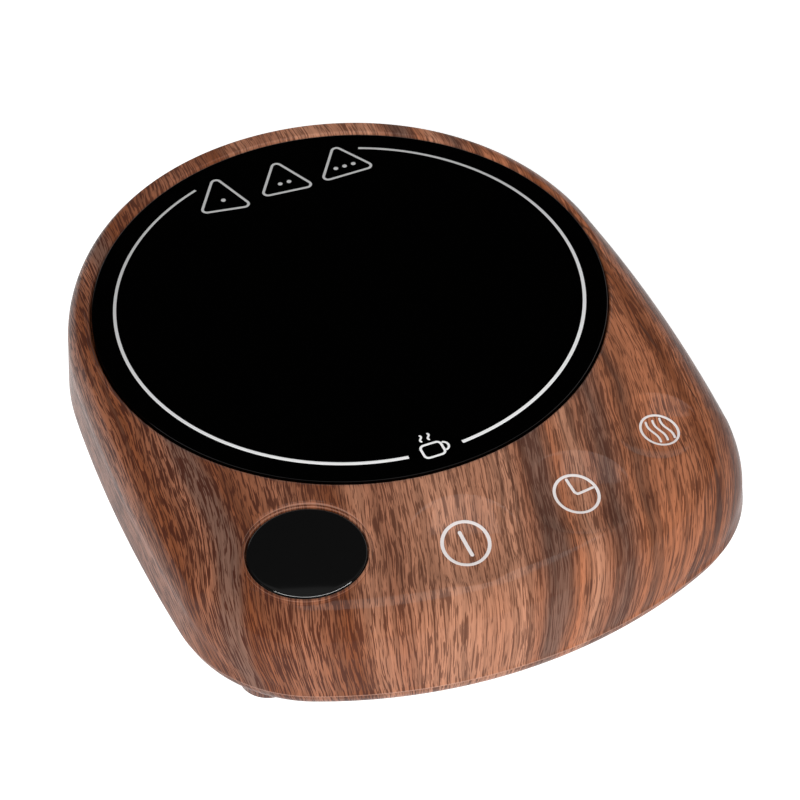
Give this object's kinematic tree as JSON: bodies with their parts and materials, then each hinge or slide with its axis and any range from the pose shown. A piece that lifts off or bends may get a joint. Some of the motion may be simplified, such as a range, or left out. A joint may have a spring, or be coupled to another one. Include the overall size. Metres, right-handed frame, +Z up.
{
  "type": "electric mug warmer",
  "caption": "Low electric warmer for a mug: round black glass hot plate in a wood-look housing that rolls down to a front touch panel with a small round display.",
  "frame": {"origin": "middle of the footprint, on the surface the rubber feet stand on", "axes": "+Z up, -Y towards the user and the touch panel, +Y towards the cord gland, +X to the user's right"},
  "size_m": [0.1188, 0.1506, 0.0236],
  "materials": {
    "wood_print": "moulded plastic with a reddish brown printed wood grain under a semi-gloss clear coat",
    "black_glass": "polished jet black ceramic glass with a pale printed ring",
    "silicone": "matte silicone",
    "aluminium_sheet": "rolled aluminium sheet",
    "mica": "pressed mica sheet with etched foil track",
    "ceramic_fibre": "felted ceramic fibre",
    "zinc_steel": "zinc plated sheet steel",
    "screw_steel": "nickel plated screws",
    "ceramic": "glazed off-white ceramic",
    "lead_sleeve": "glass fibre braid",
    "circuit_board": "green solder mask",
    "green_plastic": "moulded green plastic",
    "fuse_glass": "clear glass tube with plated caps",
    "brass_clip": "spring brass",
    "yellow_plastic": "moulded yellow case",
    "capacitor_sleeve": "dark blue shrink sleeve",
    "chip_black": "black moulded epoxy",
    "display_case": "white reflector case",
    "black_lens": "polished smoked black lens",
    "spring_steel": "bright spring wire",
    "grey_cable": "grey ribbon cable",
    "gland_plastic": "moulded black nylon",
    "black_rubber": "matte black rubber"
  },
  "bodies": {
    "root": {"upper_housing": "wood_print", "lower_cover": "wood_print", "glass_plate": "black_glass", "glass_gasket": "silicone", "heat_spreader": "aluminium_sheet", "heating_element": "mica", "insulation_pad": "ceramic_fibre", "heater_bracket": "zinc_steel", "bracket_screws": "screw_steel", "temperature_sensor": "ceramic", "thermal_fuse": "ceramic", "fuse_clip": "zinc_steel", "heater_leads": "lead_sleeve", "power_board": "circuit_board", "board_screws": "screw_steel", "terminal_block": "green_plastic", "mains_fuse": "fuse_glass", "fuse_holder": "brass_clip", "film_capacitor": "yellow_plastic", "electrolytic_capacitor": "capacitor_sleeve", "bridge_rectifier": "chip_black", "triac": "chip_black", "control_board": "circuit_board", "control_screws": "screw_steel", "microcontroller": "chip_black", "digit_display": "display_case", "display_lens": "black_lens", "touch_springs": "spring_steel", "buzzer": "chip_black", "link_cable": "grey_cable", "cord_gland": "gland_plastic", "housing_screws": "screw_steel", "rubber_feet": "black_rubber"}
  },
  "joints": []
}
